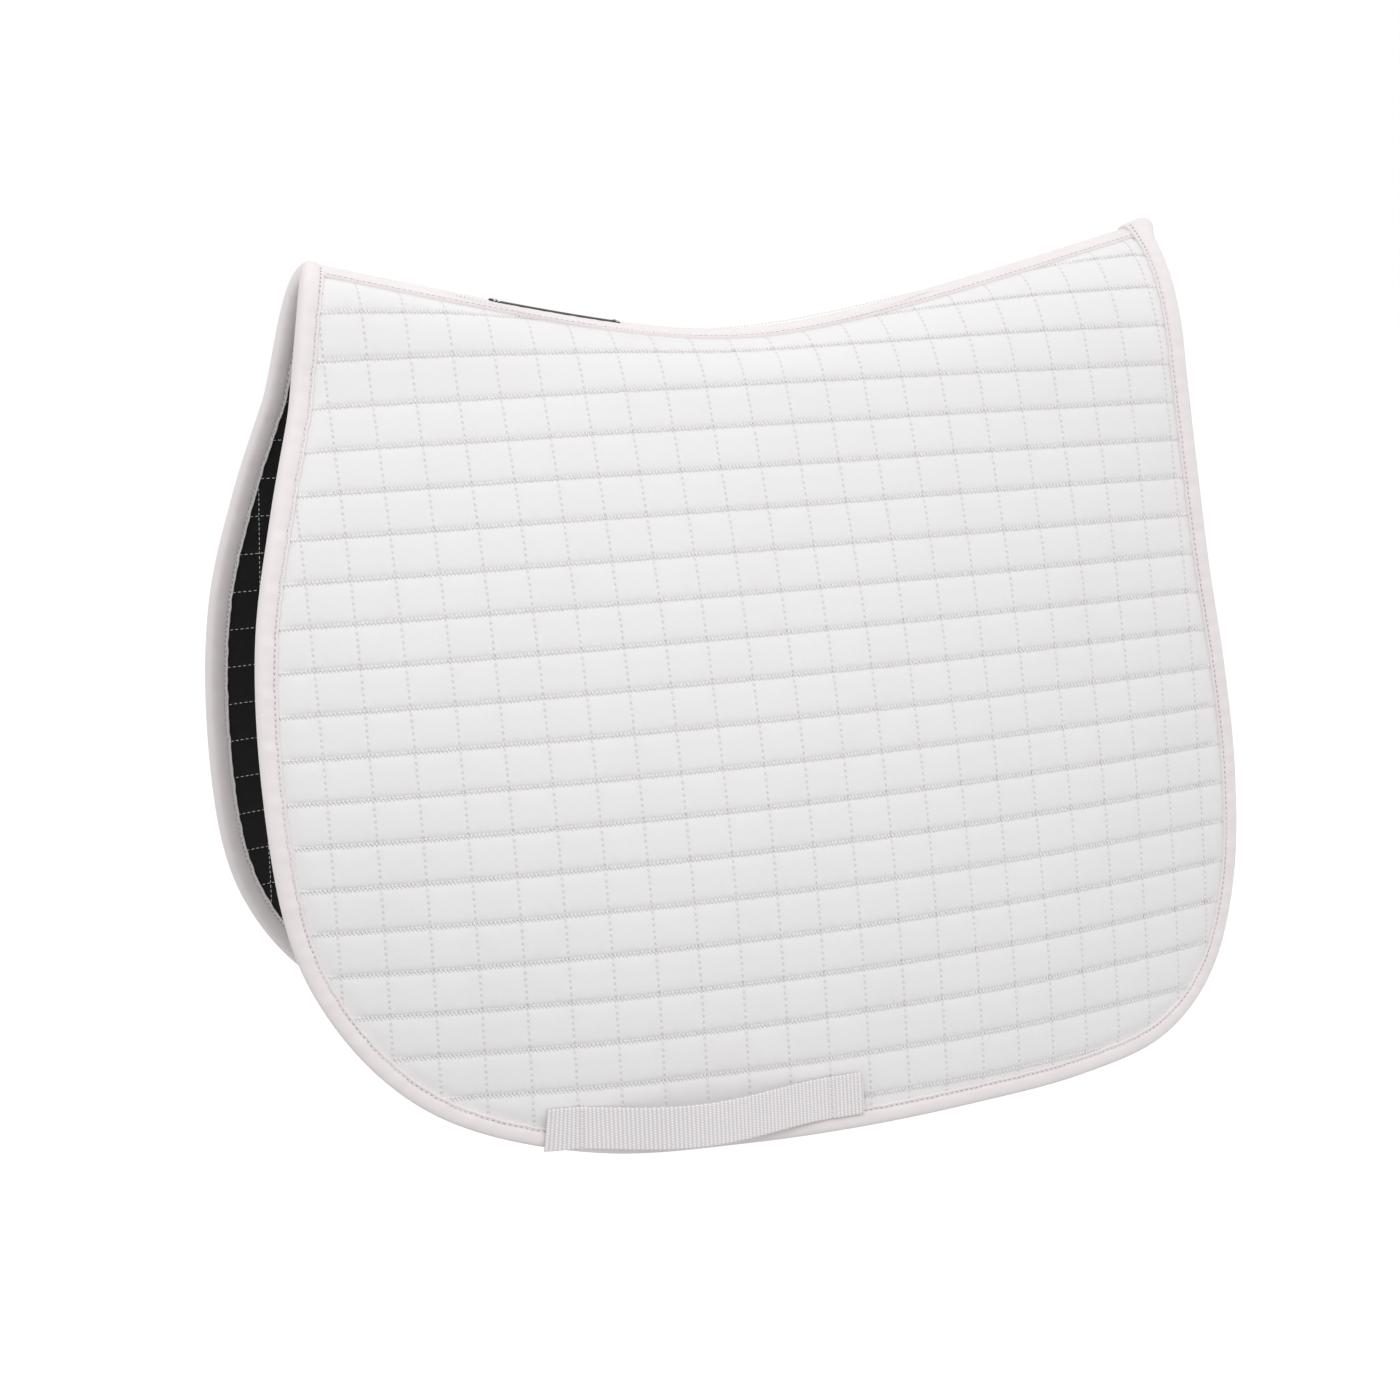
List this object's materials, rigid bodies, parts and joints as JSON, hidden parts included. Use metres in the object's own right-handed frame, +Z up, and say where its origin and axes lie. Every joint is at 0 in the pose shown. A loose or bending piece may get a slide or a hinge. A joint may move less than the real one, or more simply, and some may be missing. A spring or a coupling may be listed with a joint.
{
  "type": "saddle pad",
  "caption": "Quilted saddle pad with a dipped spine, two hinged flaps, bound edges and a webbing girth loop on each flap.",
  "frame": {"origin": "underside of the spine seam at the middle of the back, where the horse's back or a rack holds the pad", "axes": "+Z up, -X towards the horse's head, -Y towards the horse's left flank"},
  "size_m": [0.6255, 0.3356, 0.522],
  "materials": {
    "cover_cotton": "white quilted cotton",
    "wadding": "polyester wadding",
    "lining_cloth": "black woven lining",
    "binding_tape": "white satin binding",
    "webbing": "white ribbed webbing",
    "label_weave": "black woven label",
    "thread": "white polyester thread"
  },
  "bodies": {
    "crown": {"left_cover_top": "cover_cotton", "left_wadding_top": "wadding", "left_lining_top": "lining_cloth", "right_cover_top": "cover_cotton", "right_wadding_top": "wadding", "right_lining_top": "lining_cloth", "spine_tape": "binding_tape", "inner_tape": "binding_tape", "wither_binding": "binding_tape", "rear_binding": "binding_tape", "spine_label": "label_weave", "label_front_stitching": "thread", "label_rear_stitching": "thread"},
    "left_flap": {"left_cover": "cover_cotton", "left_wadding": "wadding", "left_lining": "lining_cloth", "left_edge_binding": "binding_tape", "left_girth_strap": "webbing", "left_strap_front_stitching": "thread", "left_strap_rear_stitching": "thread"},
    "right_flap": {"right_cover": "cover_cotton", "right_wadding": "wadding", "right_lining": "lining_cloth", "right_edge_binding": "binding_tape", "right_girth_strap": "webbing", "right_strap_front_stitching": "thread", "right_strap_rear_stitching": "thread"}
  },
  "joints": [
    {"name": "left_flap_swing", "type": "hinge", "parent": "crown", "child": "left_flap", "pos_m": [0, -0.052, -0.0179], "axis": [-0.9989, 0.0462, 0], "range_deg": [-10, 65]},
    {"name": "right_flap_swing", "type": "hinge", "parent": "crown", "child": "right_flap", "pos_m": [0, 0.052, -0.0179], "axis": [0.9989, 0.0462, 0], "range_deg": [-10, 65]}
  ]
}
